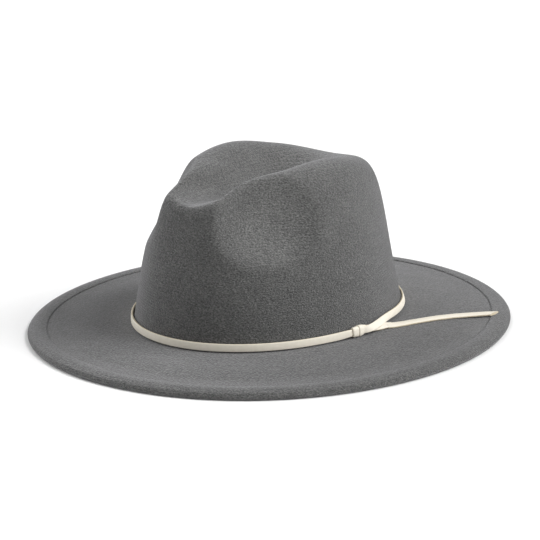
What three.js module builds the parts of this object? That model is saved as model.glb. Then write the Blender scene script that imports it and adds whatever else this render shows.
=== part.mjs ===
import * as THREE from "three";

// Rancher hat, in millimetres. It rests on z = 0 with the rim of its brim. The front of the hat
// is -Y and the wearer's left is +X. A place round the hat is an angle in degrees from the front,
// growing towards the wearer's left.

// Driving sizes
const FELT = 2.2;
const FOOT = { side: 81.3, front: 104.8, back: 100, z: 9.6 };
const EDGE = { side: 153.8, length: 175, bluntness: 0.02 };
const CREST = { side: 38.8, front: 86.8, back: 57.5, narrowing: 0.07, bluntness: 0.6 };
const DENT = { floor: 82, middle: 6 };
const PINCH = { angle: 44, height: 82.8, depth: 9.8, squareness: 2.2, rim: 0.17 };
const PINCH_REACH = { front: 23.3, back: 28.5, down: 29, up: 49 };
const FILLET = 2;
const LACE = { width: 5, thickness: 1.3, corner: 0.3 };
const KNOT = { from: 78.6, to: 84.9 };
const CLEARANCE = 0.3;
const AROUND = 72;

// The crown by angle from the front: the crest's height over the foot, how far the wall's section
// leans in low down, how high it rises before it turns, and how far out the turn at the top starts
const CROWN_ROWS = [
  { angle: 0, height: 89.7, lean: 0.54, rise: 0.82, turn: 0.4 },
  { angle: 20, height: 94.2, lean: 0.3, rise: 0.76, turn: 0.48 },
  { angle: 45, height: 102.6, lean: 0.22, rise: 0.68, turn: 0.34 },
  { angle: 90, height: 108.6, lean: 0, rise: 0.55, turn: 0.53 },
  { angle: 135, height: 101.9, lean: 0.47, rise: 0.74, turn: 0.71 },
  { angle: 180, height: 97, lean: 0.6, rise: 0.84, turn: 0.56 },
];

// Rings of the outer crown, as shares of the wall from foot to crest and of the dent from its
// crest to its middle, and the rings of its inner face
const WALL_RINGS = [0.02, 0.09, 0.17, 0.25, 0.33, 0.41, 0.49, 0.57, 0.65, 0.73, 0.81, 0.88, 0.94, 1];
const DENT_RINGS = [0.07, 0.16, 0.27, 0.4, 0.54, 0.68, 0.83];
const INNER_WALL_RINGS = [0.02, 0.14, 0.28, 0.42, 0.56, 0.7, 0.82, 0.92, 1];
const INNER_DENT_RINGS = [0.1, 0.25, 0.45, 0.7];

// The brim's section: share runs from the crown's foot to the edge, inset is measured back from
// there, z is the height over what the hat rests on
const BRIM_TOP = [
  { share: 0, inset: -FILLET, z: FOOT.z },
  { share: 0.25, inset: 0, z: 8.7 },
  { share: 0.5, inset: 0, z: 7.2 },
  { share: 1, inset: 13.1, z: 4.9 },
];
const OVERWELT = [
  { share: 1, inset: 12.85, z: 5.8 },
  { share: 1, inset: 12, z: 6.25 },
  { share: 1, inset: 7.5, z: 6.1 },
  { share: 1, inset: 3, z: 5.1 },
  { share: 1, inset: 0.4, z: 3.2 },
  { share: 1, inset: 0, z: 2.1 },
  { share: 1, inset: 0.4, z: 1.05 },
  { share: 1, inset: 3.2, z: 0 },
  { share: 1, inset: 7, z: 0 },
];
const BRIM_UNDER = [
  { share: 1, inset: 13.2, z: 2.2 },
  { share: 0.5, inset: 0, z: 5 },
  { share: 0, inset: -FILLET, z: FOOT.z - FELT },
];

// The lace, from its end beside the tail, through the knot, once round the crown and over its own
// start back to the knot. turn is degrees along it, out is its middle's distance from the crown's
// foot, up its height over the foot, tilt how far its lower edge swings outwards
const LACE_START = 96.5;
const LACE_ROWS = [
  { turn: 0, out: 4.9, up: 1.6, tilt: 62, width: 5 },
  { turn: 2.5, out: 4.1, up: 2, tilt: 57, width: 5 },
  { turn: 5.5, out: 3.3, up: 2.7, tilt: 45, width: 5 },
  { turn: 8.5, out: 2.7, up: 3.5, tilt: 20, width: 4.8 },
  { turn: 11.6, out: 2.6, up: 4, tilt: 6, width: 4.5 },
  { turn: 14.7, out: 2.6, up: 4, tilt: 6, width: 4.5 },
  { turn: 17.9, out: 2.6, up: 4, tilt: 6, width: 4.5 },
  { turn: 22, out: 1.9, up: 3.6, tilt: 5, width: 5 },
  { turn: 28, out: 1.4, up: 3.4, tilt: 4, width: 5 },
  { turn: 96.5, out: 1.4, up: 3.4, tilt: 4, width: 5 },
  { turn: 186.5, out: 1.3, up: 3.4, tilt: 4, width: 5 },
  { turn: 231, out: 0.6, up: 3.2, tilt: 17, width: 5 },
  { turn: 276, out: 0.5, up: 3.2, tilt: 20, width: 5 },
  { turn: 321, out: 0.6, up: 3.5, tilt: 17, width: 5 },
  { turn: 335, out: 0.8, up: 4.2, tilt: 12, width: 5 },
  { turn: 345, out: 1.2, up: 4.8, tilt: 9, width: 5 },
  { turn: 352, out: 1.6, up: 5.3, tilt: 10, width: 5 },
  { turn: 357, out: 2.1, up: 5.3, tilt: 18, width: 5 },
  { turn: 360.5, out: 2.9, up: 5.1, tilt: 30, width: 5 },
  { turn: 364, out: 4, up: 4.9, tilt: 40, width: 5 },
  { turn: 367.5, out: 4.6, up: 4.4, tilt: 32, width: 5 },
  { turn: 371.3, out: 4.4, up: 4, tilt: 8, width: 4.8 },
];
const FINE_TURN = 1.5;
const PLAIN_TURN = 5;
const PLAIN_FROM = 28;
const PLAIN_TO = 333;

// The two wraps of the knot: share runs along the knot, proud is how far their outside stands
// over the lace inside them
const WRAP_ROWS = [
  { share: 0, proud: 1.2 },
  { share: 0.03, proud: 1.4 },
  { share: 0.25, proud: 1.45 },
  { share: 0.48, proud: 1.4 },
  { share: 0.5, proud: 0.9 },
  { share: 0.52, proud: 0.9 },
  { share: 0.54, proud: 1.4 },
  { share: 0.75, proud: 1.45 },
  { share: 0.97, proud: 1.4 },
  { share: 1, proud: 1.2 },
];
const WRAP_INSIDE = [1, 0.66, 0.33, 0];
const WRAP_CORNER = 1.5;

// The free end of the lace lies flat on the brim, runs back beside the crown and out over the
// welt: the middle of its section, point by point
const TAIL_ROUTE = [
  [86.2, 13.2, 11.1],
  [88, 16.8, 10.8],
  [89.5, 21.5, 10.5],
  [90.9, 26.5, 10.25],
  [92.5, 32.2, 10.1],
  [94.2, 37.7, 9.9],
  [95.9, 43.4, 9.65],
  [97.6, 49.1, 9.4],
  [99.5, 54.6, 9.1],
  [101.5, 59.9, 8.75],
  [103.6, 65.1, 8.45],
  [105.9, 70, 8.1],
  [108.3, 74.8, 7.8],
  [110.9, 79.3, 7.55],
  [113.7, 83.5, 7.4],
  [116.7, 87.2, 7.35],
  [119.8, 90, 7.4],
];
const TAIL_STEPS = 20;

const felt = new THREE.MeshStandardMaterial({ name: "felt", color: 0x77767a, roughness: 0.95, metalness: 0 });
const lace = new THREE.MeshStandardMaterial({ name: "lace", color: 0xe6dfd0, roughness: 0.65, metalness: 0 });

const sin = (angle) => Math.sin(THREE.MathUtils.degToRad(angle));
const cos = (angle) => Math.cos(THREE.MathUtils.degToRad(angle));

// A column of a table at any place between its rows: smooth through them, level at both ends
function between(rows, key, column, at) {
  const last = rows.length - 1;
  const slope = (i) => {
    if (i === 0 || i === last) return 0;
    return (rows[i + 1][column] - rows[i - 1][column]) / (rows[i + 1][key] - rows[i - 1][key]);
  };
  let i = 0;
  while (i < last - 1 && at > rows[i + 1][key]) i += 1;
  const step = rows[i + 1][key] - rows[i][key];
  const u = THREE.MathUtils.clamp((at - rows[i][key]) / step, 0, 1);
  const start = rows[i][column] * (1 + 2 * u) * (1 - u) ** 2 + slope(i) * step * u * (1 - u) ** 2;
  const end = rows[i + 1][column] * u * u * (3 - 2 * u) + slope(i + 1) * step * u * u * (u - 1);
  return start + end;
}

// Angle as -180 to 180, so that both sides of the hat are alike
const sideAngle = (angle) => THREE.MathUtils.euclideanModulo(angle + 180, 360) - 180;
const crownValue = (column, angle) => between(CROWN_ROWS, "angle", column, Math.abs(sideAngle(angle)));

const footLength = (angle) => (cos(angle) > 0 ? FOOT.front : FOOT.back);
const footPoint = (angle) => new THREE.Vector3(FOOT.side * sin(angle), -footLength(angle) * cos(angle), 0);

// The brim's outline, an oval that is a little blunt in front
function edgePoint(angle) {
  const length = EDGE.length * (1 - EDGE.bluntness * Math.max(0, cos(angle)) ** 4);
  return new THREE.Vector3(EDGE.side * sin(angle), -length * cos(angle), 0);
}

// Level direction out of the crown's foot
function outwards(angle) {
  return new THREE.Vector3(sin(angle) / FOOT.side, -cos(angle) / footLength(angle), 0).normalize();
}

// The ridge round the dent of the crown, seen from above: blunt in front, round behind
function crestPoint(angle) {
  const length = CREST.front + (CREST.back - CREST.front) * (1 - cos(angle)) / 2;
  const blunt = 1 + CREST.bluntness * Math.max(0, cos(angle)) ** 6;
  const side = CREST.side * (1 - CREST.narrowing * cos(angle)) * blunt;
  return new THREE.Vector3(side * sin(angle), -length * cos(angle), 0);
}

// How deep the pinch beside the front is at a place on the crown: a bowl that gets steeper
// towards its rim, squarish in outline, and reaches further up than down
function pinchDepth(angle, height) {
  const across = Math.abs(sideAngle(angle)) - PINCH.angle;
  const along = height - PINCH.height;
  const wide = Math.abs(across) / (across > 0 ? PINCH_REACH.back : PINCH_REACH.front);
  const high = Math.abs(along) / (along > 0 ? PINCH_REACH.up : PINCH_REACH.down);
  const inside = 1 - (wide ** PINCH.squareness + high ** PINCH.squareness) ** (2 / PINCH.squareness);
  if (inside >= PINCH.rim) return PINCH.depth * inside;
  return PINCH.depth * Math.max(0, inside + PINCH.rim) ** 2 / (4 * PINCH.rim);
}

// A point of the crown's outside. rise is 0 at the foot, 1 on the crest and 2 in the dent's middle
function crownPoint(rise, angle) {
  const height = crownValue("height", angle);
  const crest = crestPoint(angle);
  const point = new THREE.Vector3();
  let pinched = 1;
  if (rise <= 1) {
    const near = 3 * rise * (1 - rise) ** 2;
    const far = 3 * rise * rise * (1 - rise);
    const spread = (1 - rise) ** 3 + near * (1 - crownValue("lean", angle)) + far * crownValue("turn", angle);
    point.lerpVectors(crest, footPoint(angle), spread);
    point.z = height * (near * crownValue("rise", angle) + far + rise ** 3);
  } else {
    const share = 2 - rise;
    point.lerpVectors(new THREE.Vector3(0, DENT.middle, 0), crest, share);
    point.z = DENT.floor + (height - DENT.floor) * share * share * (3 - 2 * share);
    pinched = Math.max(0, 1 - (rise - 1) / 0.4);
  }
  point.addScaledVector(outwards(angle), -pinched * pinchDepth(angle, point.z));
  point.z += FOOT.z;
  return point;
}

// The same point on the inner face, one thickness of felt further in
function innerCrownPoint(rise, angle) {
  const step = 0.01;
  const across = crownPoint(rise, angle + 1).sub(crownPoint(rise, angle - 1));
  const up = crownPoint(rise + step, angle).sub(crownPoint(rise - step, angle));
  const normal = across.cross(up).normalize();
  return crownPoint(rise, angle).addScaledVector(normal, -FELT);
}

// A point of the brim's section from a row of its tables
function brimPoint(row, angle) {
  const point = footPoint(angle).lerp(edgePoint(angle), row.share);
  point.addScaledVector(outwards(angle), -row.inset);
  point.z = row.z;
  return point;
}

// A point of the bend from crown to brim: radius is of the bend's outer or inner face
function bendPoint(radius, turn, angle) {
  const row = { share: 0, inset: radius * cos(turn) - FILLET, z: FOOT.z + FILLET - radius * sin(turn) };
  return brimPoint(row, angle);
}

// A closed body from triangles over a list of points
function solid(name, points, faces, material) {
  const geometry = new THREE.BufferGeometry();
  geometry.setAttribute("position", new THREE.Float32BufferAttribute(points.flatMap((p) => p.toArray()), 3));
  geometry.setIndex(faces);
  geometry.computeVertexNormals();
  const mesh = new THREE.Mesh(geometry, material);
  mesh.name = name;
  return mesh;
}

// Two triangles for each field between one ring of points and the next
function strip(from, to, count) {
  const faces = [];
  for (let i = 0; i < count; i += 1) {
    const next = (i + 1) % count;
    faces.push(from + i, to + i, to + next, from + i, to + next, from + next);
  }
  return faces;
}

// A ring of points round the hat
function ring(place) {
  return Array.from({ length: AROUND }, (_, i) => place((i * 360) / AROUND));
}

// Crown and brim are one blocked piece of felt: rings run from the middle of the dent down the
// outside, along the brim, round its edge and back up the inside
function feltBody() {
  const rings = [
    ...DENT_RINGS.map((share) => ring((angle) => crownPoint(1 + share, angle))).reverse(),
    ...WALL_RINGS.map((rise) => ring((angle) => crownPoint(rise, angle))).reverse(),
    ring((angle) => bendPoint(FILLET, 0, angle)),
    ring((angle) => bendPoint(FILLET, 45, angle)),
    ...[...BRIM_TOP, ...OVERWELT, ...BRIM_UNDER].map((row) => ring((angle) => brimPoint(row, angle))),
    ring((angle) => bendPoint(FILLET + FELT, 45, angle)),
    ...INNER_WALL_RINGS.map((rise) => ring((angle) => innerCrownPoint(rise, angle))),
    ...INNER_DENT_RINGS.map((share) => ring((angle) => innerCrownPoint(1 + share, angle))),
  ];
  const points = rings.flat();
  const faces = [];
  for (let i = 0; i + 1 < rings.length; i += 1) faces.push(...strip(i * AROUND, (i + 1) * AROUND, AROUND));
  const top = points.push(new THREE.Vector3(0, DENT.middle, FOOT.z + DENT.floor)) - 1;
  const under = points.push(new THREE.Vector3(0, DENT.middle, FOOT.z + DENT.floor - FELT)) - 1;
  const last = (rings.length - 1) * AROUND;
  for (let i = 0; i < AROUND; i += 1) {
    const next = (i + 1) % AROUND;
    faces.push(top, i, next, last + i, under, last + next);
  }
  return solid("felt_body", points, faces, felt);
}

// Where the lace is at a turn along it: its middle, the way across its width and through it
function laceAt(turn) {
  const angle = LACE_START - turn;
  const at = (column) => between(LACE_ROWS, "turn", column, turn);
  const out = outwards(angle);
  const up = new THREE.Vector3(0, 0, 1);
  const middle = footPoint(angle).addScaledVector(out, at("out")).addScaledVector(up, FOOT.z + at("up"));
  const across = up.clone().multiplyScalar(cos(at("tilt"))).addScaledVector(out, -sin(at("tilt")));
  const through = out.clone().multiplyScalar(cos(at("tilt"))).addScaledVector(up, sin(at("tilt")));
  return { middle, across, through, halfWidth: at("width") / 2, halfThickness: LACE.thickness / 2 };
}

// A loop of points round the lace with cut or rounded corners, grown outwards by a margin
function sectionRing(place, margin, corner, cornerPoints) {
  const high = place.halfWidth + margin - corner;
  const wide = place.halfThickness + margin - corner;
  const points = [];
  for (let quarter = 0; quarter < 4; quarter += 1) {
    const signWide = quarter === 0 || quarter === 3 ? 1 : -1;
    const signHigh = quarter < 2 ? 1 : -1;
    for (let i = 0; i < cornerPoints; i += 1) {
      const angle = quarter * 90 + (i * 90) / (cornerPoints - 1);
      const point = place.middle.clone();
      point.addScaledVector(place.through, signWide * wide + corner * cos(angle));
      point.addScaledVector(place.across, -signHigh * high - corner * sin(angle));
      points.push(point);
    }
  }
  return points;
}

// The lace round the crown, one strand with both its ends at the knot
function hatBand() {
  const turns = [];
  for (let turn = 0; turn < PLAIN_FROM; turn += FINE_TURN) turns.push(turn);
  for (let turn = PLAIN_FROM; turn < PLAIN_TO; turn += PLAIN_TURN) turns.push(turn);
  const end = LACE_ROWS[LACE_ROWS.length - 1].turn;
  for (let turn = PLAIN_TO; turn < end - FINE_TURN / 2; turn += FINE_TURN) turns.push(turn);
  turns.push(end);
  const rings = turns.map((turn) => sectionRing(laceAt(turn), 0, LACE.corner, 2));
  const sides = rings[0].length;
  const points = rings.flat();
  const faces = [];
  for (let i = 0; i + 1 < rings.length; i += 1) faces.push(...strip(i * sides, (i + 1) * sides, sides));
  const last = (rings.length - 1) * sides;
  for (let i = 1; i + 1 < sides; i += 1) faces.push(0, i, i + 1, last, last + i + 1, last + i);
  return solid("hat_band", points, faces, lace);
}

// The two wraps of lace that hold the band and its free end together
function bandKnot() {
  const place = (share) => laceAt(LACE_START - KNOT.to + share * (KNOT.to - KNOT.from));
  const rings = [
    ...WRAP_ROWS.map((row) => sectionRing(place(row.share), row.proud, WRAP_CORNER, 4)),
    ...WRAP_INSIDE.map((share) => sectionRing(place(share), CLEARANCE, LACE.corner, 4)),
  ];
  const sides = rings[0].length;
  const faces = [];
  for (let i = 0; i < rings.length; i += 1) {
    faces.push(...strip(i * sides, ((i + 1) % rings.length) * sides, sides));
  }
  return solid("band_knot", rings.flat(), faces, lace);
}

// The free end, a flat strand whose width lies level
function bandTail() {
  const thick = LACE.thickness / 2;
  const wide = LACE.width / 2;
  const cut = LACE.corner;
  const section = new THREE.Shape([
    new THREE.Vector2(thick, cut - wide),
    new THREE.Vector2(thick, wide - cut),
    new THREE.Vector2(thick - cut, wide),
    new THREE.Vector2(cut - thick, wide),
    new THREE.Vector2(-thick, wide - cut),
    new THREE.Vector2(-thick, cut - wide),
    new THREE.Vector2(cut - thick, -wide),
    new THREE.Vector2(thick - cut, -wide),
  ]);
  const route = new THREE.CatmullRomCurve3(TAIL_ROUTE.map((point) => new THREE.Vector3(...point)));
  const geometry = new THREE.ExtrudeGeometry(section, {
    steps: TAIL_STEPS,
    bevelEnabled: false,
    extrudePath: route,
  });
  const mesh = new THREE.Mesh(geometry, lace);
  mesh.name = "band_tail";
  return mesh;
}

const hat = new THREE.Group();
hat.add(feltBody(), hatBand(), bandKnot(), bandTail());

export default hat;
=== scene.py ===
"""Rancher hat: grey blocked felt with pinched crown and overwelt, cream lace knotted round it."""

import math

import bmesh
import bpy
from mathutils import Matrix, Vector


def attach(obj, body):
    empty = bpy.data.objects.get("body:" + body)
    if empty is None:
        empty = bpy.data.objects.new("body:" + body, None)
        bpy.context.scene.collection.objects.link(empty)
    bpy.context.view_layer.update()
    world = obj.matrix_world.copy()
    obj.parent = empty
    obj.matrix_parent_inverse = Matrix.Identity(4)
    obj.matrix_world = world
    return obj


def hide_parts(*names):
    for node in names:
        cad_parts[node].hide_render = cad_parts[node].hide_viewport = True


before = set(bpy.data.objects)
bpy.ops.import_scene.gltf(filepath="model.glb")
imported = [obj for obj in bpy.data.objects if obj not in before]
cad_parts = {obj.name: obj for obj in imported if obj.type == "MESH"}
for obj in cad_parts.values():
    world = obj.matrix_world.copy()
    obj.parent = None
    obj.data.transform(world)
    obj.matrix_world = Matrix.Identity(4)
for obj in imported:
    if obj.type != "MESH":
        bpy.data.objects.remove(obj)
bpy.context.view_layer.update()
MM = 0.001

# The hat's sizes in millimetres. It rests on z = 0, its front is -Y and the wearer's left is +X.
# A place round it is an angle in degrees from the front, growing towards the wearer's left. A place
# up the crown is its rise: 0 at the foot, 1 on the crest and 2 in the middle of the dent
FELT = 2.2
FILLET = 2
FOOT = {"side": 81.3, "front": 104.8, "back": 100, "z": 9.6}
EDGE = {"side": 153.8, "length": 175, "bluntness": 0.02}
CREST = {"side": 38.8, "front": 86.8, "back": 57.5, "narrowing": 0.07, "bluntness": 0.6}
DENT = {"floor": 82, "middle": 6}

# The pinch on each side of the front: its middle, how deep it is on the wearer's left and right,
# how square its outline is, how wide its rim, and over how much rise it fades inside the dent
PINCH = {
    "angle": 44,
    "height": 82.8,
    "left_depth": 13,
    "right_depth": 9.5,
    "squareness": 2.2,
    "rim": 0.17,
    "fading": 0.4,
}
PINCH_REACH = {"front": 23.3, "back": 28.5, "down": 29, "up": 32}

# Painted light on the crown, low in each pinch: a lighter patch where the bowl catches the light.
# Above its middle the patch leans back by some degrees for each millimetre, and the one on the
# wearer's right is lightened less, by the factor "right"
PAINTED_LIGHT = {
    "angle": 47,
    "leaning": 0.45,
    "height": 68,
    "across": 20,
    "down": 19,
    "up": 42,
    "fading": 0.5,
    "right": 0.4,
}
# The dent and its crest get some painted light too, which starts at a rise just under the crest
PAINTED_LIGHT_DENT = {"share": 0.55, "start": 0.74, "reach": 0.16}

# The crown by angle from the front: the crest's height over the foot, how far the wall leans in
# low down, how high it rises before it turns, and how far out the turn at the top starts, which is
# less by a share of RIGHT_TURN on the wearer's right
RIGHT_TURN = 0.25
CROWN_ROWS = [
    {"angle": 0, "height": 89.7, "lean": 0.54, "rise": 0.82, "turn": 0.4},
    {"angle": 20, "height": 94.2, "lean": 0.3, "rise": 0.76, "turn": 0.48},
    {"angle": 45, "height": 102.6, "lean": 0.22, "rise": 0.68, "turn": 0.34},
    {"angle": 90, "height": 108.6, "lean": 0, "rise": 0.55, "turn": 0.53},
    {"angle": 135, "height": 101.9, "lean": 0.47, "rise": 0.74, "turn": 0.71},
    {"angle": 180, "height": 97, "lean": 0.6, "rise": 0.84, "turn": 0.56},
]

# The brim's section: share runs from the crown's foot to the edge, inset is measured back from
# there, z is the height over the floor
BRIM_TOP = [
    {"share": 0, "inset": -FILLET, "z": FOOT["z"]},
    {"share": 0.12, "inset": -1, "z": 9.3},
    {"share": 0.25, "inset": 0, "z": 8.7},
    {"share": 0.5, "inset": 0, "z": 7.2},
    {"share": 1, "inset": 24, "z": 5.7},
    {"share": 1, "inset": 13.4, "z": 5.3},
]
# The brim's rim is folded over onto its top: the cut edge of the fold stands as a low step
OVERWELT = [
    {"share": 1, "inset": 13.1, "z": 5.25},
    {"share": 1, "inset": 12.95, "z": 5.4},
    {"share": 1, "inset": 12.8, "z": 5.65},
    {"share": 1, "inset": 12.4, "z": 5.85},
    {"share": 1, "inset": 11.8, "z": 5.97},
    {"share": 1, "inset": 10, "z": 6.1},
    {"share": 1, "inset": 7.5, "z": 6.1},
    {"share": 1, "inset": 5, "z": 5.7},
    {"share": 1, "inset": 3, "z": 5.1},
    {"share": 1, "inset": 1.4, "z": 4.25},
    {"share": 1, "inset": 0.4, "z": 3.2},
    {"share": 1, "inset": 0, "z": 2.1},
    {"share": 1, "inset": 0.4, "z": 1.05},
    {"share": 1, "inset": 1.5, "z": 0.25},
    {"share": 1, "inset": 3.2, "z": 0},
    {"share": 1, "inset": 7, "z": 0},
]
BRIM_UNDER = [
    {"share": 1, "inset": 7, "z": 0},
    {"share": 1, "inset": 13.2, "z": 2.2},
    {"share": 1, "inset": 24, "z": 3.2},
    {"share": 0.5, "inset": 0, "z": 5},
    {"share": 0.25, "inset": 0, "z": 6.5},
    {"share": 0, "inset": -FILLET, "z": FOOT["z"] - FELT},
]

# Points on each ring of the hat, and its rings by steps of rise: over the dent, down the wall, and
# back up the inside. The bend at the foot has a ring at each of its turns, in degrees, and the rows
# of the brim are divided into so many parts
AROUND = 360
DENT_RINGS = {"steps": 30, "reach": 0.985}
WALL_RINGS = {"steps": 70, "reach": 0.98}
INNER_RINGS = {"steps": 36, "start": 0.02, "reach": 1.83}
BEND_TURNS = (0, 22, 45, 68)
BRIM_PARTS = {"top": 5, "welt": 2, "under": 3}
# How far off the crown's slope is measured to each side, in degrees and in rise
NEAR = {"angle": 1, "rise": 0.01}

# The lace is flat with rubbed corners, and the middle of its faces stands out by the crowning. Its
# section is drawn with so many points on a face and so many steps round a corner
LACE = {"width": 5, "thickness": 1.3, "corner": 0.35}
LACE_CROWNING = 0.12
SECTION = {"face_points": 5, "corner_steps": 3}

# The lace from its start, laid over the free end's, through the knot, once round the crown and over
# its own start into the knot again. turn is degrees along it, out its middle's distance from the
# crown's foot, up its height over the foot, tilt how far its lower edge swings outwards
LACE_START = 96.5
LACE_ROWS = [
    {"turn": -3, "out": 7.8, "up": 1.42, "tilt": 65, "width": 5.1},
    {"turn": -1.1, "out": 5.7, "up": 1.72, "tilt": 63, "width": 5.1},
    {"turn": 0, "out": 4.9, "up": 1.8, "tilt": 62, "width": 5.1},
    {"turn": 2.5, "out": 4.1, "up": 2, "tilt": 57, "width": 5},
    {"turn": 5.5, "out": 3.3, "up": 2.7, "tilt": 45, "width": 5},
    {"turn": 8.5, "out": 2.7, "up": 3.5, "tilt": 20, "width": 4.8},
    {"turn": 11.6, "out": 2.6, "up": 4, "tilt": 6, "width": 4.5},
    {"turn": 14.7, "out": 2.6, "up": 4, "tilt": 6, "width": 4.5},
    {"turn": 17.9, "out": 2.6, "up": 4, "tilt": 6, "width": 4.5},
    {"turn": 22, "out": 1.9, "up": 3.6, "tilt": 5, "width": 5},
    {"turn": 28, "out": 1.4, "up": 3.4, "tilt": 4, "width": 5},
    {"turn": 96.5, "out": 1.4, "up": 3.4, "tilt": 4, "width": 5},
    {"turn": 186.5, "out": 1.3, "up": 3.4, "tilt": 4, "width": 5},
    {"turn": 231, "out": 0.6, "up": 3.2, "tilt": 17, "width": 5},
    {"turn": 276, "out": 0.5, "up": 3.2, "tilt": 20, "width": 5},
    {"turn": 321, "out": 0.6, "up": 3.5, "tilt": 17, "width": 5},
    {"turn": 335, "out": 0.8, "up": 4.2, "tilt": 12, "width": 5},
    {"turn": 345, "out": 1.2, "up": 4.8, "tilt": 9, "width": 5},
    {"turn": 352, "out": 1.6, "up": 5.3, "tilt": 10, "width": 5},
    {"turn": 357, "out": 2.1, "up": 5.3, "tilt": 18, "width": 5},
    {"turn": 360.5, "out": 2.9, "up": 5.1, "tilt": 30, "width": 5},
    {"turn": 364, "out": 4, "up": 4.9, "tilt": 40, "width": 5},
    {"turn": 367.5, "out": 4.6, "up": 4.4, "tilt": 32, "width": 5},
    {"turn": 370.3, "out": 4.4, "up": 4.1, "tilt": 14, "width": 4.8},
    {"turn": 373.6, "out": 3.1, "up": 4, "tilt": 6, "width": 4.6},
]
LACE_STEP = 0.75

# The knot lies between two angles. Two wraps hold it, and a third turn lies beside them: each
# covers the knot from one share of its width to another, and stands proud of the strands at its
# two edges
KNOT = {"from": 78.6, "to": 84.9}
WRAPS = (
    {"from": 0.06, "to": 0.6, "proud": (0.95, 1.35)},
    {"from": 0.5, "to": 1, "proud": (1.75, 1)},
    {"from": 0.97, "to": 1.2, "proud": (0.9, 0.4)},
)
# How far the edges of a wrap are rubbed down, how far its inner face stands off the strands, how
# full its loop is (1 is an oval, less is squarer), and its points round the strands and across
# its width
WRAP = {"rubbed": 0.3, "inner": 0.25, "fullness": 0.72, "around": 48, "across": 9}
# How far apart these points lie on the leather, round the strands and across the width
WRAP_LAY = {"around": 0.5, "across": 0.6}

# The free end of the lace on the brim: the middle of its section, point by point
TAIL_ROUTE = [
    (86.2, 13.2, 11.1),
    (88, 16.8, 10.8),
    (89.5, 21.5, 10.5),
    (90.9, 26.5, 10.25),
    (92.5, 32.2, 10.1),
    (94.2, 37.7, 9.9),
    (95.9, 43.4, 9.65),
    (97.6, 49.1, 9.4),
    (99.5, 54.6, 9.1),
    (101.5, 59.9, 8.75),
    (103.6, 65.1, 8.45),
    (105.9, 70, 8.1),
    (108.3, 74.8, 7.8),
    (110.9, 79.3, 7.55),
    (113.7, 83.5, 7.4),
    (116.7, 87.2, 7.35),
    (119.8, 90, 7.4),
]
TAIL_PARTS = 8
TAIL_CROWNING = 0.3
# Degrees by which its edge away from the crown is tilted down: all along, more in its middle, and
# more at its start, which fades out at a share of its length
TAIL_LEAN = {"all": 7, "middle": 5, "start": 19, "fading": 0.35}
# How far its tip is cut back at one edge and runs on at the other, and over what length
TAIL_SLANT = {"by": 3, "over": 9}

# The camera stands where the photograph was taken from: azimuth 38 degrees, 17 above the floor
CAMERA_PLACE = (1.1202, -1.4337, 0.5558)
CAMERA_AIM = (-0.0055, 0.0057, 0.0347)
CAMERA_LENS = 188.4

# Name, angle round the hat from its front, angle above the floor and strength of each light, and
# how wide they look from the hat, in degrees
SOFTBOXES = (
    ("high_front_softbox", -32, 60, 0.6),
    ("right_softbox", 120, 40, 3.85),
    ("low_right_softbox", 118, 12, 0.25),
    ("front_softbox", -2, 15, 0.5),
    ("left_softbox", -62, 12, 0.7),
    ("back_left_softbox", -102, 30, 1.3),
)
SOFTBOX_WIDTH = 50
# The side of the floor, in metres
FLOOR_SIZE = 40

# In a Mix node for colours: the numbers of its factor, its two colours and its result
MIX = {"factor": 0, "first": 6, "second": 7, "result": 2}
# The corners of a face between two rings: first or second ring, first or second point
CORNERS = ((0, 0), (1, 0), (1, 1), (0, 1))
UP = Vector((0, 0, 1))


def photo_camera():
    data = bpy.data.cameras.new("photo_camera")
    data.lens = CAMERA_LENS
    camera = bpy.data.objects.new("photo_camera", data)
    camera.location = CAMERA_PLACE
    sight = Vector(CAMERA_AIM) - camera.location
    camera.rotation_euler = sight.to_track_quat("-Z", "Y").to_euler()
    bpy.context.collection.objects.link(camera)
    bpy.context.scene.camera = camera


def linear(code):
    """An sRGB hex colour as the linear colour that a shader takes."""
    parts = [int(code[i : i + 2], 16) / 255 for i in (1, 3, 5)]
    return (*[c / 12.92 if c <= 0.04045 else ((c + 0.055) / 1.055) ** 2.4 for c in parts], 1)


def add_node(tree, kind, inputs=None, stops=(), **settings):
    """One node with its settings. An input is given a value, or another node's output to link, and
    a colour ramp is given stops, pairs of position and hex colour."""
    node = tree.nodes.new(kind)
    for name, value in settings.items():
        setattr(node, name, value)
    for name, value in (inputs or {}).items():
        if isinstance(value, bpy.types.NodeSocket):
            tree.links.new(value, node.inputs[name])
        else:
            node.inputs[name].default_value = value
    if stops:
        elements = node.color_ramp.elements
        while len(elements) < len(stops):
            elements.new(0.5)
        for element, (position, code) in zip(elements, stops):
            element.position = position
            element.color = linear(code)
    return node


def new_material(name):
    material = bpy.data.materials.new(name)
    material.use_nodes = True
    material.node_tree.nodes.clear()
    return material


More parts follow.
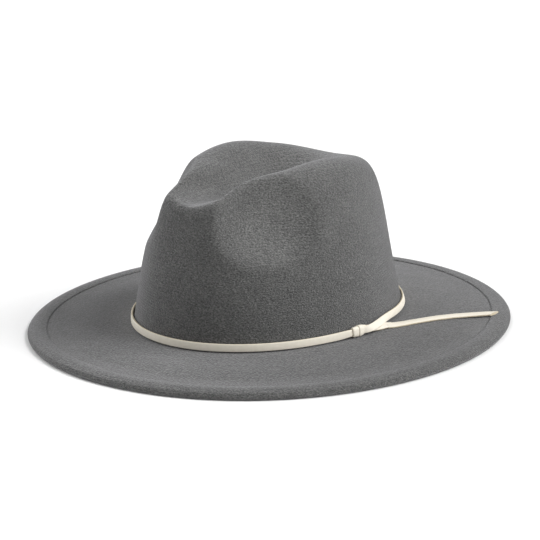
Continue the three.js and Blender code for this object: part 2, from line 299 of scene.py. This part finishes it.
def brushed_wool_felt():
    """Wool felt, fulled, blocked and brushed: short grey fibres of several shades, quite matt,
    with a soft lighter bloom where the nap is seen edge on, and painted light in the pinches and
    the dent."""
    material = new_material("brushed_wool_felt")
    tree = material.node_tree
    place = add_node(tree, "ShaderNodeTexCoord").outputs["Object"]
    # Wool fibres are 0.02 mm thick, too fine to show, so tufts of them are drawn 0.6 mm high and
    # 1.2 mm long, lying level as the wool was carded
    level = add_node(tree, "ShaderNodeMapping", {"Vector": place, "Scale": (0.5, 0.5, 1)})
    tufts = add_node(
        tree,
        "ShaderNodeTexNoise",
        {
            "Vector": level.outputs["Vector"],
            "Scale": 1 / (0.6 * MM),
            "Detail": 1,
            "Roughness": 0.5,
            "Distortion": 0.3,
        },
    ).outputs["Fac"]
    # The block leaves faint level courses round the crown, 1.75 mm apart: a wave's scale is pi / 10
    # over that distance
    courses = add_node(
        tree,
        "ShaderNodeTexWave",
        {
            "Vector": place,
            "Scale": math.pi / 10 / (1.75 * MM),
            "Distortion": 3,
            "Detail": 1,
            "Detail Scale": 0.6,
        },
        bands_direction="Z",
    ).outputs["Fac"]
    # Patches 16 mm wide where the brush has laid the nap another way
    patches = add_node(
        tree,
        "ShaderNodeTexNoise",
        {"Vector": place, "Scale": 1 / (16 * MM), "Detail": 2, "Roughness": 0.5},
    ).outputs["Fac"]
    fibres = add_node(
        tree,
        "ShaderNodeValToRGB",
        {"Fac": tufts},
        stops=((0.3, "#4B4B4A"), (0.5, "#646463"), (0.7, "#7E7E7C")),
    ).outputs["Color"]
    brushed = add_node(
        tree,
        "ShaderNodeValToRGB",
        {"Fac": patches},
        stops=((0.3, "#F0F0F0"), (0.7, "#FFFFFF")),
    ).outputs["Color"]
    # Painted light: the coat is at full brightness where the pinches and the dent catch the light,
    # and darker elsewhere
    painted_light = add_node(tree, "ShaderNodeAttribute", attribute_name="painted_light").outputs["Fac"]
    # This ramp is painted light, a lighter coat where the crown catches the light
    rubbed = add_node(
        tree, "ShaderNodeValToRGB", {"Fac": painted_light}, stops=((0, "#E0E0E0"), (1, "#FFFFFF"))
    ).outputs["Color"]
    coat = fibres
    for shade in (brushed, rubbed):
        coat = add_node(
            tree,
            "ShaderNodeMix",
            {MIX["factor"]: 1, MIX["first"]: coat, MIX["second"]: shade},
            data_type="RGBA",
            blend_type="MULTIPLY",
        ).outputs[MIX["result"]]
    nap = add_node(
        tree,
        "ShaderNodeBump",
        {"Height": tufts, "Strength": 1, "Distance": 0.8 * MM},
    )
    laid = add_node(
        tree,
        "ShaderNodeBump",
        {"Height": courses, "Strength": 0.6, "Distance": 0.2 * MM, "Normal": nap.outputs["Normal"]},
    )
    shader = add_node(
        tree,
        "ShaderNodeBsdfPrincipled",
        {
            "Base Color": coat,
            "Roughness": 0.95,
            "IOR": 1.45,
            "Specular IOR Level": 0.25,
            "Sheen Weight": 0.5,
            "Sheen Roughness": 0.5,
            "Sheen Tint": linear("#D8D8DC"),
            "Normal": laid.outputs["Normal"],
        },
    )
    add_node(tree, "ShaderNodeOutputMaterial", {"Surface": shader.outputs["BSDF"]})
    return material


def cream_lace_leather():
    """Full-grain leather lace, dyed cream and rolled flat: even, low gloss, a fine soft grain."""
    material = new_material("cream_lace_leather")
    tree = material.node_tree
    place = add_node(tree, "ShaderNodeTexCoord").outputs["UV"]
    # Dye takes a little unevenly, in cloudy patches 3 mm wide
    clouds = add_node(
        tree,
        "ShaderNodeTexNoise",
        {"Vector": place, "Scale": 1 / (3 * MM), "Detail": 3, "Roughness": 0.6},
    ).outputs["Fac"]
    # Pores are 0.1 mm apart; the grain is drawn 0.4 mm wide so that it shows at all
    grain = add_node(
        tree,
        "ShaderNodeTexNoise",
        {"Vector": place, "Scale": 1 / (0.4 * MM), "Detail": 2, "Roughness": 0.5},
    ).outputs["Fac"]
    dyed = add_node(
        tree,
        "ShaderNodeValToRGB",
        {"Fac": clouds},
        stops=((0.25, "#E1DBCB"), (0.6, "#E7E0D2"), (0.85, "#EBE5D9")),
    ).outputs["Color"]
    pores = add_node(
        tree, "ShaderNodeBump", {"Height": grain, "Strength": 0.25, "Distance": 0.1 * MM}
    ).outputs["Normal"]
    shader = add_node(
        tree,
        "ShaderNodeBsdfPrincipled",
        {"Base Color": dyed, "Roughness": 0.6, "IOR": 1.47, "Normal": pores},
    )
    add_node(tree, "ShaderNodeOutputMaterial", {"Surface": shader.outputs["BSDF"]})
    return material


def cut_lace_edge():
    """The lace's edge where the knife went through: undyed tan fibres, rough and matt, drawn
    slantwise by the cut."""
    material = new_material("cut_lace_edge")
    tree = material.node_tree
    place = add_node(tree, "ShaderNodeTexCoord").outputs["UV"]
    slant = add_node(
        tree,
        "ShaderNodeMapping",
        {"Vector": place, "Rotation": (0, 0, math.radians(35)), "Scale": (1, 0.25, 1)},
    ).outputs["Vector"]
    # Fibre bundles 0.6 mm wide, a few real ones drawn as one so that they show
    bundles = add_node(
        tree,
        "ShaderNodeTexNoise",
        {"Vector": slant, "Scale": 1 / (0.6 * MM), "Detail": 2, "Roughness": 0.6},
    ).outputs["Fac"]
    tan = add_node(
        tree,
        "ShaderNodeValToRGB",
        {"Fac": bundles},
        stops=((0.3, "#D2C4A6"), (0.55, "#DED2B9"), (0.75, "#EAE2D0")),
    ).outputs["Color"]
    rough = add_node(
        tree, "ShaderNodeBump", {"Height": bundles, "Strength": 0.4, "Distance": 0.2 * MM}
    ).outputs["Normal"]
    shader = add_node(
        tree,
        "ShaderNodeBsdfPrincipled",
        {
            "Base Color": tan,
            "Roughness": 0.85,
            "IOR": 1.47,
            "Specular IOR Level": 0.3,
            "Normal": rough,
        },
    )
    add_node(tree, "ShaderNodeOutputMaterial", {"Surface": shader.outputs["BSDF"]})
    return material


def pale_floor_paint():
    """Matt white studio board."""
    material = new_material("pale_floor_paint")
    tree = material.node_tree
    shader = add_node(
        tree, "ShaderNodeBsdfPrincipled", {"Base Color": linear("#FAFAFA"), "Roughness": 0.9}
    )
    add_node(tree, "ShaderNodeOutputMaterial", {"Surface": shader.outputs["BSDF"]})
    return material


def sin(angle):
    return math.sin(math.radians(angle))


def cos(angle):
    return math.cos(math.radians(angle))


def clamp(value):
    return min(1, max(0, value))


def between(rows, key, column, at):
    """A table's column at any place between its rows: smooth through them, level at both ends."""
    last = len(rows) - 1

    def slope(i):
        if i in (0, last):
            return 0
        rise = rows[i + 1][column] - rows[i - 1][column]
        return rise / (rows[i + 1][key] - rows[i - 1][key])

    i = 0
    while i < last - 1 and at > rows[i + 1][key]:
        i += 1
    step = rows[i + 1][key] - rows[i][key]
    u = clamp((at - rows[i][key]) / step)
    start = rows[i][column] * (1 + 2 * u) * (1 - u) ** 2 + slope(i) * step * u * (1 - u) ** 2
    end = rows[i + 1][column] * u * u * (3 - 2 * u) + slope(i + 1) * step * u * u * (u - 1)
    return start + end


def four_round(items, i):
    """The items before i, at i, after it and after that; past an end the last one is repeated."""
    return [items[min(max(j, 0), len(items) - 1)] for j in range(i - 1, i + 3)]


def curve_between(before, start, end, after, u):
    """A place on the curve through four numbers or vectors; u runs from 0 at start to 1 at end."""
    return 0.5 * (
        2 * start
        + (end - before) * u
        + (2 * before - 5 * start + 4 * end - after) * u * u
        + (3 * start - before - 3 * end + after) * u**3
    )


def smooth_rows(rows, parts):
    """The rows with more between them, on a curve through them."""
    fine = []
    for i in range(len(rows) - 1):
        four = four_round(rows, i)
        for k in range(parts):
            u = k / parts
            fine.append({name: curve_between(*(row[name] for row in four), u) for name in rows[i]})
    fine.append(rows[-1])
    return fine


def smooth_path(points, parts):
    """The points with more between them, on a curve through them."""
    fine = []
    for i in range(len(points) - 1):
        four = [Vector(point) for point in four_round(points, i)]
        fine += [curve_between(*four, k / parts) for k in range(parts)]
    fine.append(Vector(points[-1]))
    return fine


def lengths_along(points):
    """The length along a line of points up to each of them."""
    lengths = [0]
    for here, there in zip(points, points[1:]):
        lengths.append(lengths[-1] + math.dist(here, there))
    return lengths


def side_angle(angle):
    """The angle as -180 to 180, less than 0 on the wearer's right."""
    return (angle + 180) % 360 - 180


def foot_length(angle):
    return FOOT["front"] if cos(angle) > 0 else FOOT["back"]


def foot_point(angle):
    return Vector((FOOT["side"] * sin(angle), -foot_length(angle) * cos(angle), 0))


def edge_point(angle):
    """The brim's outline, an oval that is a little blunt in front."""
    length = EDGE["length"] * (1 - EDGE["bluntness"] * max(0, cos(angle)) ** 4)
    return Vector((EDGE["side"] * sin(angle), -length * cos(angle), 0))


def outwards(angle):
    """Level direction out of the crown's foot."""
    return Vector((sin(angle) / FOOT["side"], -cos(angle) / foot_length(angle), 0)).normalized()


def crest_point(angle):
    """The ridge round the dent of the crown, seen from above: blunt in front, round behind."""
    length = CREST["front"] + (CREST["back"] - CREST["front"]) * (1 - cos(angle)) / 2
    side = CREST["side"] * (1 - CREST["narrowing"] * cos(angle))
    side *= 1 + CREST["bluntness"] * max(0, cos(angle)) ** 6
    return Vector((side * sin(angle), -length * cos(angle), 0))


def pinch_depth(angle, height):
    """How deep the pinch beside the front is at a place on the crown: a bowl that gets steeper
    towards its rim, squarish in outline, and reaches a little further up than down."""
    side = side_angle(angle)
    across = abs(side) - PINCH["angle"]
    along = height - PINCH["height"]
    wide = abs(across) / PINCH_REACH["back" if across > 0 else "front"]
    high = abs(along) / PINCH_REACH["up" if along > 0 else "down"]
    power = PINCH["squareness"]
    inside = 1 - (wide**power + high**power) ** (2 / power)
    rim = PINCH["rim"]
    if inside < rim:
        inside = max(0, inside + rim) ** 2 / (4 * rim)
    return PINCH["left_depth" if side > 0 else "right_depth"] * inside


def painted_light_share(angle, height, rise):
    """How much painted light a place on the crown gets, from 0 to 1."""
    side = side_angle(angle)
    along = height - PAINTED_LIGHT["height"]
    across = abs(side) - PAINTED_LIGHT["angle"] - PAINTED_LIGHT["leaning"] * max(0, along)
    across /= PAINTED_LIGHT["across"]
    along /= PAINTED_LIGHT["up" if along > 0 else "down"]
    pinch = clamp((1 - math.hypot(across, along)) / PAINTED_LIGHT["fading"])
    if side < 0:
        pinch *= PAINTED_LIGHT["right"]
    dent = PAINTED_LIGHT_DENT["share"] * clamp((rise - PAINTED_LIGHT_DENT["start"]) / PAINTED_LIGHT_DENT["reach"])
    return max(pinch if rise <= 1 else 0, dent)


def crown_column(angle):
    """What the crown's section needs to know at one angle."""
    at = abs(side_angle(angle))
    names = ("height", "lean", "rise", "turn")
    column = {name: between(CROWN_ROWS, "angle", name, at) for name in names}
    column["turn"] *= 1 - RIGHT_TURN * max(0, -sin(angle))
    column.update(crest=crest_point(angle), foot=foot_point(angle))
    column.update(out=outwards(angle), angle=angle)
    return column


def crown_point(rise, column):
    """A point of the crown's outside at a rise."""
    height = column["height"]
    if rise <= 1:
        near = 3 * rise * (1 - rise) ** 2
        far = 3 * rise * rise * (1 - rise)
        spread = (1 - rise) ** 3 + near * (1 - column["lean"]) + far * column["turn"]
        point = column["crest"].lerp(column["foot"], spread)
        point.z = height * (near * column["rise"] + far + rise**3)
        pinched = 1
    else:
        share = 2 - rise
        point = Vector((0, DENT["middle"], 0)).lerp(column["crest"], share)
        point.z = DENT["floor"] + (height - DENT["floor"]) * share * share * (3 - 2 * share)
        pinched = max(0, 1 - (rise - 1) / PINCH["fading"])
    point -= column["out"] * (pinched * pinch_depth(column["angle"], point.z))
    point.z += FOOT["z"]
    return point


def brim_point(row, column):
    point = column["foot"].lerp(edge_point(column["angle"]), row["share"])
    point -= column["out"] * row["inset"]
    point.z = row["z"]
    return point


def bend_row(radius, turn):
    """A row of the bend from crown to brim; radius is of its outer or inner face."""
    inset = radius * cos(turn) - FILLET
    z = FOOT["z"] + FILLET - radius * sin(turn)
    return {"share": 0, "inset": inset, "z": z}


def ring_faces(form, rings, closed):
    """Faces between rings of points in millimetres, from each ring to the next, and where closed is
    True from the last to the first. Gives the rings' corners, and the faces by ring and point."""
    corners = [[form.verts.new(point * MM) for point in ring] for ring in rings]
    count = len(rings[0])
    faces = {}
    for i in range(len(rings) if closed else len(rings) - 1):
        here, there = corners[i], corners[(i + 1) % len(rings)]
        for j in range(count):
            k = (j + 1) % count
            faces[i, j] = form.faces.new((here[j], there[j], there[k], here[k]))
            faces[i, j].smooth = True
    return corners, faces


def end_faces(form, corners):
    """Closes the first ring and the last with a face."""
    return [form.faces.new(ring) for ring in (corners[0], corners[-1])]


def lay_on_leather(faces, lay, place):
    """Gives the faces their places on the leather, so that its grain runs on from face to face.
    place turns the numbers of a ring and a point into millimetres on the leather."""
    for (i, j), face in faces.items():
        for loop, (ring, point) in zip(face.loops, CORNERS):
            loop[lay].uv = [length * MM for length in place(i + ring, j + point)]


def new_piece(name, form, materials):
    """A piece of the hat from its finished form."""
    bmesh.ops.recalc_face_normals(form, faces=form.faces)
    mesh = bpy.data.meshes.new(name)
    form.to_mesh(mesh)
    form.free()
    for material in materials:
        mesh.materials.append(material)
    piece = bpy.data.objects.new(name, mesh)
    bpy.context.collection.objects.link(piece)
    return piece


def felt_crown_and_brim(felt):
    """Crown, brim and overwelt are one blocked piece. Rings run from the middle of the dent down
    the outside, along the brim, round its edge and back up the inside."""
    columns = [crown_column(i * 360 / AROUND) for i in range(AROUND)]
    steps = DENT_RINGS["steps"]
    rises = [2 - DENT_RINGS["reach"] * (i + 0.5) / steps for i in range(steps)]
    steps = WALL_RINGS["steps"]
    rises += [1 - WALL_RINGS["reach"] * i / steps for i in range(steps)]
    rings = []
    painted_light = []
    for rise in rises:
        ring = [crown_point(rise, column) for column in columns]
        for column, point in zip(columns, ring):
            painted_light.append(painted_light_share(column["angle"], point.z - FOOT["z"], rise))
        rings.append(ring)

    rows = [bend_row(FILLET, turn) for turn in BEND_TURNS]
    rows += smooth_rows(BRIM_TOP, BRIM_PARTS["top"])
    rows += smooth_rows(OVERWELT, BRIM_PARTS["welt"])
    rows += smooth_rows(BRIM_UNDER, BRIM_PARTS["under"])[1:]
    rows += [bend_row(FILLET + FELT, turn) for turn in reversed(BEND_TURNS[1:])]
    rings += [[brim_point(row, column) for column in columns] for row in rows]

    # The inside is the outside moved in by the felt's thickness, square to the outside's slope
    sides = []
    for column in columns:
        ahead = crown_column(column["angle"] + NEAR["angle"])
        behind = crown_column(column["angle"] - NEAR["angle"])
        sides.append((ahead, behind))
    steps = INNER_RINGS["steps"]
    for i in range(steps + 1):
        rise = INNER_RINGS["start"] + INNER_RINGS["reach"] * i / steps
        ring = []
        for column, (ahead, behind) in zip(columns, sides):
            across = crown_point(rise, ahead) - crown_point(rise, behind)
            over = crown_point(rise + NEAR["rise"], column)
            up = over - crown_point(rise - NEAR["rise"], column)
            ring.append(crown_point(rise, column) - across.cross(up).normalized() * FELT)
        rings.append(ring)

    form = bmesh.new()
    corners, _ = ring_faces(form, rings, closed=False)
    end_faces(form, corners)
    hat = new_piece("felt_crown_and_brim", form, [felt])
    # Only the crown's outside gets painted light; on the other points the share stays 0
    painted_light_layer = hat.data.attributes.new("painted_light", "FLOAT", "POINT")
    for i, share in enumerate(painted_light):
        painted_light_layer.data[i].value = share
    return hat


def lace_place(turn):
    """Where the lace is at a turn along it: its middle, the way across its width and through it."""
    angle = LACE_START - turn
    names = ("out", "up", "tilt", "width")
    row = {name: between(LACE_ROWS, "turn", name, turn) for name in names}
    out = outwards(angle)
    middle = foot_point(angle) + out * row["out"]
    middle.z = FOOT["z"] + row["up"]
    across = UP * cos(row["tilt"]) - out * sin(row["tilt"])
    through = out * cos(row["tilt"]) + UP * sin(row["tilt"])
    return {"middle": middle, "across": across, "through": through, "width": row["width"]}


def lace_section(crowning):
    """Points round the lace's section as (across, through), with for each side from one point to
    the next whether it is the cut edge. The faces are slightly crowned and the corners rubbed."""
    corner = LACE["corner"]
    high = LACE["width"] / 2 - corner
    wide = LACE["thickness"] / 2 - corner
    steps = SECTION["corner_steps"]
    points = []
    cut = []
    for face in (1, -1):
        for i in range(SECTION["face_points"]):
            u = 2 * i / (SECTION["face_points"] - 1) - 1
            points.append((-face * high * u, face * (wide + corner + crowning * (1 - u * u))))
            cut.append(False)
        for sign in (face, -face):
            for i in range(1, steps):
                angle = 90 * i / steps if sign == face else 90 - 90 * i / steps
                across = high + corner * sin(angle)
                through = sign * (wide + corner * cos(angle))
                points.append((-face * across, through))
                cut.append(sign == face and i == steps - 1)
    return points, cut


def strand_of_lace(name, middles, rings, section, materials):
    """A strand of lace along its middles, ring after ring, with cut ends."""
    points, cut = section
    lengths = lengths_along(middles)
    girths = lengths_along(points + points[:1])
    form = bmesh.new()
    lay = form.loops.layers.uv.new("lay")
    corners, faces = ring_faces(form, rings, closed=False)
    for (_, j), face in faces.items():
        face.material_index = 1 if cut[j] else 0
    lay_on_leather(faces, lay, lambda ring, point: (lengths[ring], girths[point]))
    for end in end_faces(form, corners):
        end.material_index = 1
        for loop in end.loops:
            loop[lay].uv = loop.vert.co.xy
    return new_piece(name, form, materials)


def lace_round_crown(materials):
    """The band: one strand once round the crown, with both its ends at the knot."""
    start, end = LACE_ROWS[0]["turn"], LACE_ROWS[-1]["turn"]
    count = round((end - start) / LACE_STEP)
    places = [lace_place(start + i * (end - start) / count) for i in range(count + 1)]
    section = lace_section(LACE_CROWNING)
    rings = []
    for place in places:
        middle, across, through = place["middle"], place["across"], place["through"]
        wider = place["width"] / LACE["width"]
        rings.append([middle + across * u * wider + through * v for u, v in section[0]])
    middles = [place["middle"] for place in places]
    return strand_of_lace("lace_round_crown", middles, rings, section, materials)


def wrap_loop(place, proud):
    """A rounded loop round the strands inside the knot."""
    half_width = place["width"] / 2 + proud
    half_thickness = LACE["thickness"] / 2 + proud
    loop = []
    for i in range(WRAP["around"]):
        angle = 360 * i / WRAP["around"]
        across = math.copysign(abs(sin(angle)) ** WRAP["fullness"], sin(angle)) * half_width
        through = math.copysign(abs(cos(angle)) ** WRAP["fullness"], cos(angle)) * half_thickness
        loop.append(place["middle"] + place["across"] * across + place["through"] * through)
    return loop


def wrap_rings(wrap):
    """The loops of a wrap: over its outside from edge to edge, then the inner face's two."""
    first, second = wrap["proud"]
    rows = []
    for i in range(WRAP["across"]):
        share = i / (WRAP["across"] - 1)
        # The high power keeps the rubbing to the very edges
        rubbed = WRAP["rubbed"] * abs(2 * share - 1) ** 8
        rows.append((share, first + (second - first) * share - rubbed))
    rows += [(1, WRAP["inner"]), (0, WRAP["inner"])]
    rings = []
    for share, proud in rows:
        at = wrap["from"] + (wrap["to"] - wrap["from"]) * share
        angle = KNOT["from"] + (KNOT["to"] - KNOT["from"]) * at
        rings.append(wrap_loop(lace_place(LACE_START - angle), proud))
    return rings


def lace_wraps(materials):
    """The two wraps of lace that hold the band and its free end, and the turn beside them."""
    form = bmesh.new()
    lay = form.loops.layers.uv.new("lay")
    for wrap in WRAPS:
        rings = wrap_rings(wrap)
        _, faces = ring_faces(form, rings, closed=True)
        for (i, _), face in faces.items():
            if i in (WRAP["across"] - 1, len(rings) - 1):
                face.smooth = False
                face.material_index = 1
        lay_on_leather(
            faces,
            lay,
            lambda ring, point: (point * WRAP_LAY["around"], ring * WRAP_LAY["across"]),
        )
    return new_piece("lace_wraps", form, materials)


def lace_free_end(materials):
    """The free end of the lace: it lies on the brim, turned a little on itself, and is cut
    slantwise at its tip."""
    path = smooth_path(TAIL_ROUTE, TAIL_PARTS)
    lengths = lengths_along(path)
    section = lace_section(TAIL_CROWNING)
    last = len(path) - 1
    rings = []
    for i, middle in enumerate(path):
        ahead = (path[min(i + 1, last)] - path[max(i - 1, 0)]).normalized()
        level = ahead.cross(UP).normalized()
        share = i / last
        lean = TAIL_LEAN["all"] + TAIL_LEAN["middle"] * sin(180 * share)
        lean += TAIL_LEAN["start"] * max(0, 1 - share / TAIL_LEAN["fading"]) ** 2
        across = level * cos(lean) - level.cross(ahead) * sin(lean)
        through = across.cross(ahead).normalized()
        left = lengths[-1] - lengths[i]
        slant = TAIL_SLANT["by"] * max(0, 1 - left / TAIL_SLANT["over"])
        back = ahead * (slant * 2 / LACE["width"])
        rings.append([middle + across * u + through * v - back * u for u, v in section[0]])
    piece = strand_of_lace("lace_free_end", path, rings, section, materials)
    return piece, path, lengths[-1]


def studio(floor_paint):
    """Plain pale floor under far, wide softboxes round the hat, one of them high in front."""
    bpy.ops.mesh.primitive_plane_add(size=FLOOR_SIZE)
    floor = bpy.context.object
    floor.name = "floor"
    floor.data.materials.append(floor_paint)
    for name, around, above, strength in SOFTBOXES:
        light = bpy.data.lights.new(name, "SUN")
        light.angle = math.radians(SOFTBOX_WIDTH)
        light.energy = strength
        lamp = bpy.data.objects.new(name, light)
        towards = Vector((sin(around) * cos(above), -cos(around) * cos(above), sin(above)))
        lamp.rotation_euler = (-towards).to_track_quat("-Z", "Y").to_euler()
        bpy.context.collection.objects.link(lamp)
    # The room itself gives no light
    world = bpy.data.worlds.new("room")
    world.use_nodes = True
    world.node_tree.nodes["Background"].inputs["Strength"].default_value = 0
    bpy.context.scene.world = world
    bpy.context.scene.view_settings.view_transform = "Standard"


photo_camera()
felt = brushed_wool_felt()
lace = [cream_lace_leather(), cut_lace_edge()]

free_end, free_end_path, free_end_length = lace_free_end(lace)
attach(free_end, "root")
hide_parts("band_tail")
[tuple(point * MM) for point in free_end_path]

hat_felt = felt_crown_and_brim(felt)
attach(hat_felt, "root")
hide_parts("felt_body")

band = lace_round_crown(lace)
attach(band, "root")
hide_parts("hat_band")

wraps = lace_wraps(lace)
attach(wraps, "root")
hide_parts("band_knot")

studio(pale_floor_paint())
